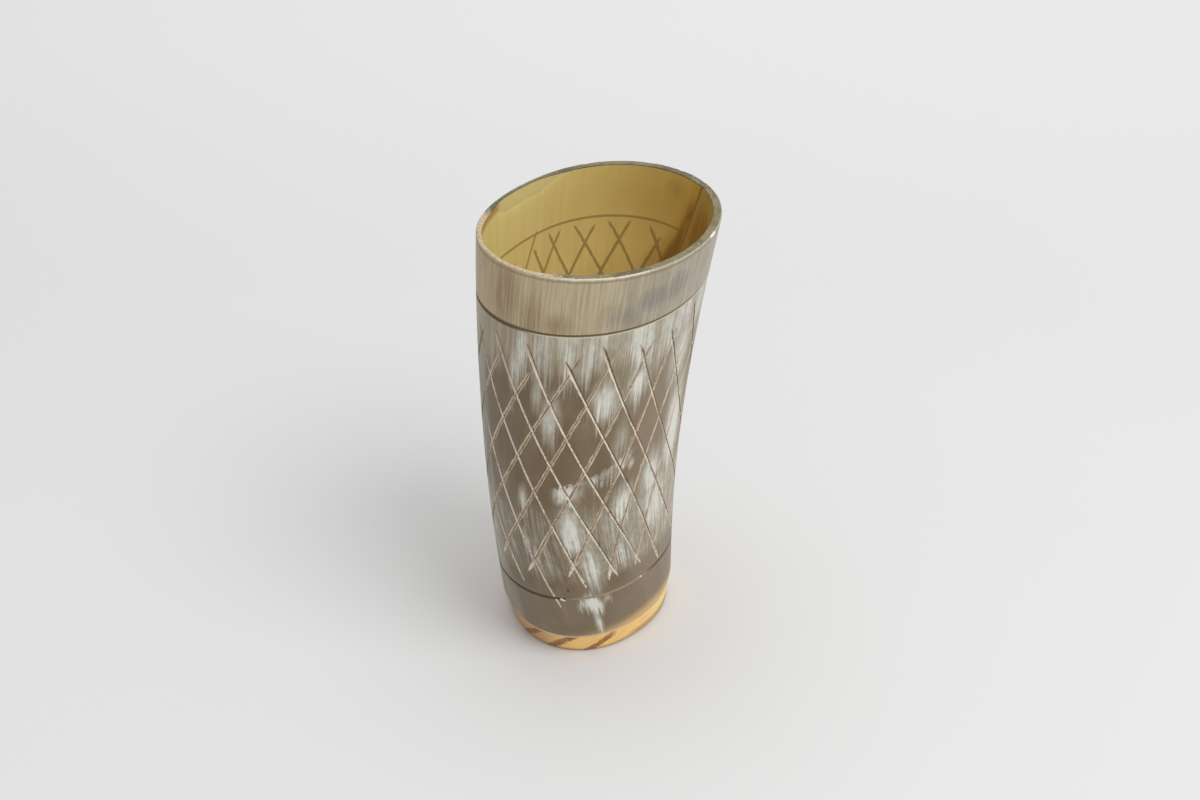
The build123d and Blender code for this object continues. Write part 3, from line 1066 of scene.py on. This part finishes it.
def pine_wood():
    """Sanded pine: bright early wood with red-brown late bands, which lie aslant, so few are at the right."""
    finish = Finish("pine_wood")
    place = finish.object_place()
    drift = finish.noise(place, (60, 60, 60), 2.0)
    ragged = finish.noise(place, (900, 900, 900), 4.0, 0.7, (3, 1, 6))
    across, depth, height = finish.axes(place)
    layer = 0.5 * depth - 0.5 * across + 0.7 * height - 6 * across * across
    count = (layer + 0.0015 * (drift - 0.5) + 0.002 * (ragged - 0.5)) * YEARS_PER_METRE + FIRST_YEAR
    year = finish.node("ShaderNodeMath", {"operation": "FRACT"}, {0: count}).value()
    late = finish.ramp(year, 0.3, 0.42) * finish.ramp(year, 0.69, 0.6)
    late = late * finish.ramp(across, 0.012, 0.008) * finish.ramp(across, -0.0245, -0.022)
    late = late * finish.ramp(ragged, 0.3, 0.5, 0.6, 1.0)
    fibre = finish.noise(place, (260, 900, 900), 3.0)
    layers = finish.node("ShaderNodeCombineXYZ", {}, {"X": layer, "Y": 0.05 * across}).value()
    line = finish.noise(layers, (2600, 2600, 1), 3.0, 0.65)
    early = finish.mix(fibre, rgb(0.98, 0.575, 0.175), rgb(0.99, 0.69, 0.27))
    # Painted light and shade: paler towards the lit right, darker towards the left, partly a browner tone
    # there
    early = finish.mix(finish.ramp(across, 0.002, 0.018, 0.0, 0.85), early, rgb(0.98, 0.655, 0.25))
    early = finish.mix(finish.ramp(across, 0.019, 0.027, 0.0, 0.8), early, rgb(1.0, 0.78, 0.35))
    early = finish.mix(finish.ramp(across, -0.003, -0.018, 0.0, 0.8), early, rgb(0.44, 0.245, 0.115))
    early = finish.mix(finish.ramp(line, 0.46, 0.68, 0.0, 0.34), early, rgb(0.6, 0.29, 0.07))
    early = finish.mix(finish.ramp(ragged, 0.56, 0.72, 0.0, 0.35), early, rgb(0.6, 0.31, 0.08))
    colour = finish.mix(late * 0.92, early, rgb(0.28, 0.1, 0.025))
    shade = height - 0.045 * across.at_least(0.008)
    colour = finish.mix(finish.ramp(shade, 0.0018, 0.0, 0.0, 0.65), colour, rgb(0.3, 0.14, 0.045))
    band = height + 0.002 * (ragged - 0.5)
    band = finish.ramp(band, 0.0036, 0.0028) * finish.ramp(band, 0.0012, 0.0018)
    band = band * finish.ramp(across, 0.013, 0.018) * finish.ramp(depth, 0.008, 0.0)
    colour = finish.mix(band * 0.5, colour, rgb(0.4, 0.17, 0.04))
    rough = finish.ramp(fibre, 0.3, 0.7, 0.42, 0.58)
    finish.shade({"Base Color": colour, "Roughness": rough, "Normal": finish.bump(fibre, 0.00008)})
    return finish


def cured_glue():
    """Clear glue gone faintly amber."""
    finish = Finish("cured_glue")
    place = finish.object_place()
    blotch = finish.noise(place, (200, 200, 200), 3.0)
    colour = finish.mix(blotch, rgb(0.55, 0.42, 0.18), rgb(0.68, 0.56, 0.3))
    rough = finish.ramp(blotch, 0.3, 0.7, 0.12, 0.3)
    finish.shade({"Base Color": colour, "Roughness": rough, "Normal": finish.bump(blotch, 0.0003)})
    return finish


def studio_paper():
    """The pale sweep that the cup stands on."""
    finish = Finish("studio_paper")
    place = finish.object_place()
    tone = finish.noise(place, (6, 6, 6), 2.0)
    depth = finish.axes(place)[1]
    colour = finish.mix(tone, rgb(0.73, 0.73, 0.73), rgb(0.75, 0.75, 0.75))
    # Painted light: the floor is paler towards the back
    colour = finish.mix(finish.ramp(depth, 0.15, 0.75), colour, rgb(0.86, 0.86, 0.86))
    finish.shade({"Base Color": colour, "Roughness": 0.9, "Specular IOR Level": 0.1})
    return finish


HORN_FINISHES = {
    "horn_outside": horn_outside(),
    "horn_lip": horn_lip(),
    "horn_inside": horn_inside(),
    "cut_painted_lit_flank": chalky_cut("cut_painted_lit_flank", rgb(0.84, 0.74, 0.61)),
    "cut_rim": chalky_cut("cut_rim", rgb(0.66, 0.54, 0.4)),
    "cut_painted_shade": cut_painted_shade(),
    "cut_floor": cut_floor(),
    "scribed_ring": scribed_ring(),
}


def dress_node(name, finish):
    """Gives a CAD node its finish in place of the plain one."""
    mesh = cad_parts[name].data
    mesh.materials.clear()
    mesh.materials.append(finish.material)


def make_studio():
    """Floor, soft lamps, sky and the camera that took the picture."""
    bpy.ops.object.select_all(action="DESELECT")
    bpy.ops.mesh.primitive_plane_add(size=FLOOR_SIZE)
    floor = bpy.context.object
    floor.name = "floor"
    floor.data.materials.append(studio_paper().material)

    def lamp(name, place, aim, size, power):
        data = bpy.data.lights.new(name, "AREA")
        data.shape = "DISK"
        data.size = size
        data.energy = power
        light = bpy.data.objects.new(name, data)
        light.location = place
        light.rotation_euler = (Vector(aim) - Vector(place)).to_track_quat("-Z", "Y").to_euler()
        bpy.context.scene.collection.objects.link(light)

    lamp("key_lamp", place=(0.8, -0.6, 1.4), aim=(0, 0, 0.05), size=1.1, power=12)
    lamp("top_lamp", place=(0, 0.3, 1.7), aim=(0, 0, 0.05), size=1.5, power=7)

    world = bpy.data.worlds.new("sky")
    world.use_nodes = True
    sky = world.node_tree.nodes["Background"]
    sky.inputs["Color"].default_value = rgb(1, 1, 1)
    sky.inputs["Strength"].default_value = SKY_STRENGTH
    bpy.context.scene.world = world

    camera = bpy.data.objects.new("camera", bpy.data.cameras.new("camera"))
    camera.location = CAMERA_PLACE
    camera.rotation_euler = (radians(90 - CAMERA_LOOKS_DOWN), 0, 0)
    camera.data.lens = CAMERA_LENS
    camera.data.sensor_width = CAMERA_SENSOR
    bpy.context.scene.collection.objects.link(camera)
    bpy.context.scene.camera = camera
    bpy.context.scene.view_settings.view_transform = "Standard"


make_horn()
dress_node("wood_base", pine_wood())
dress_node("glue_seal", cured_glue())
make_studio()
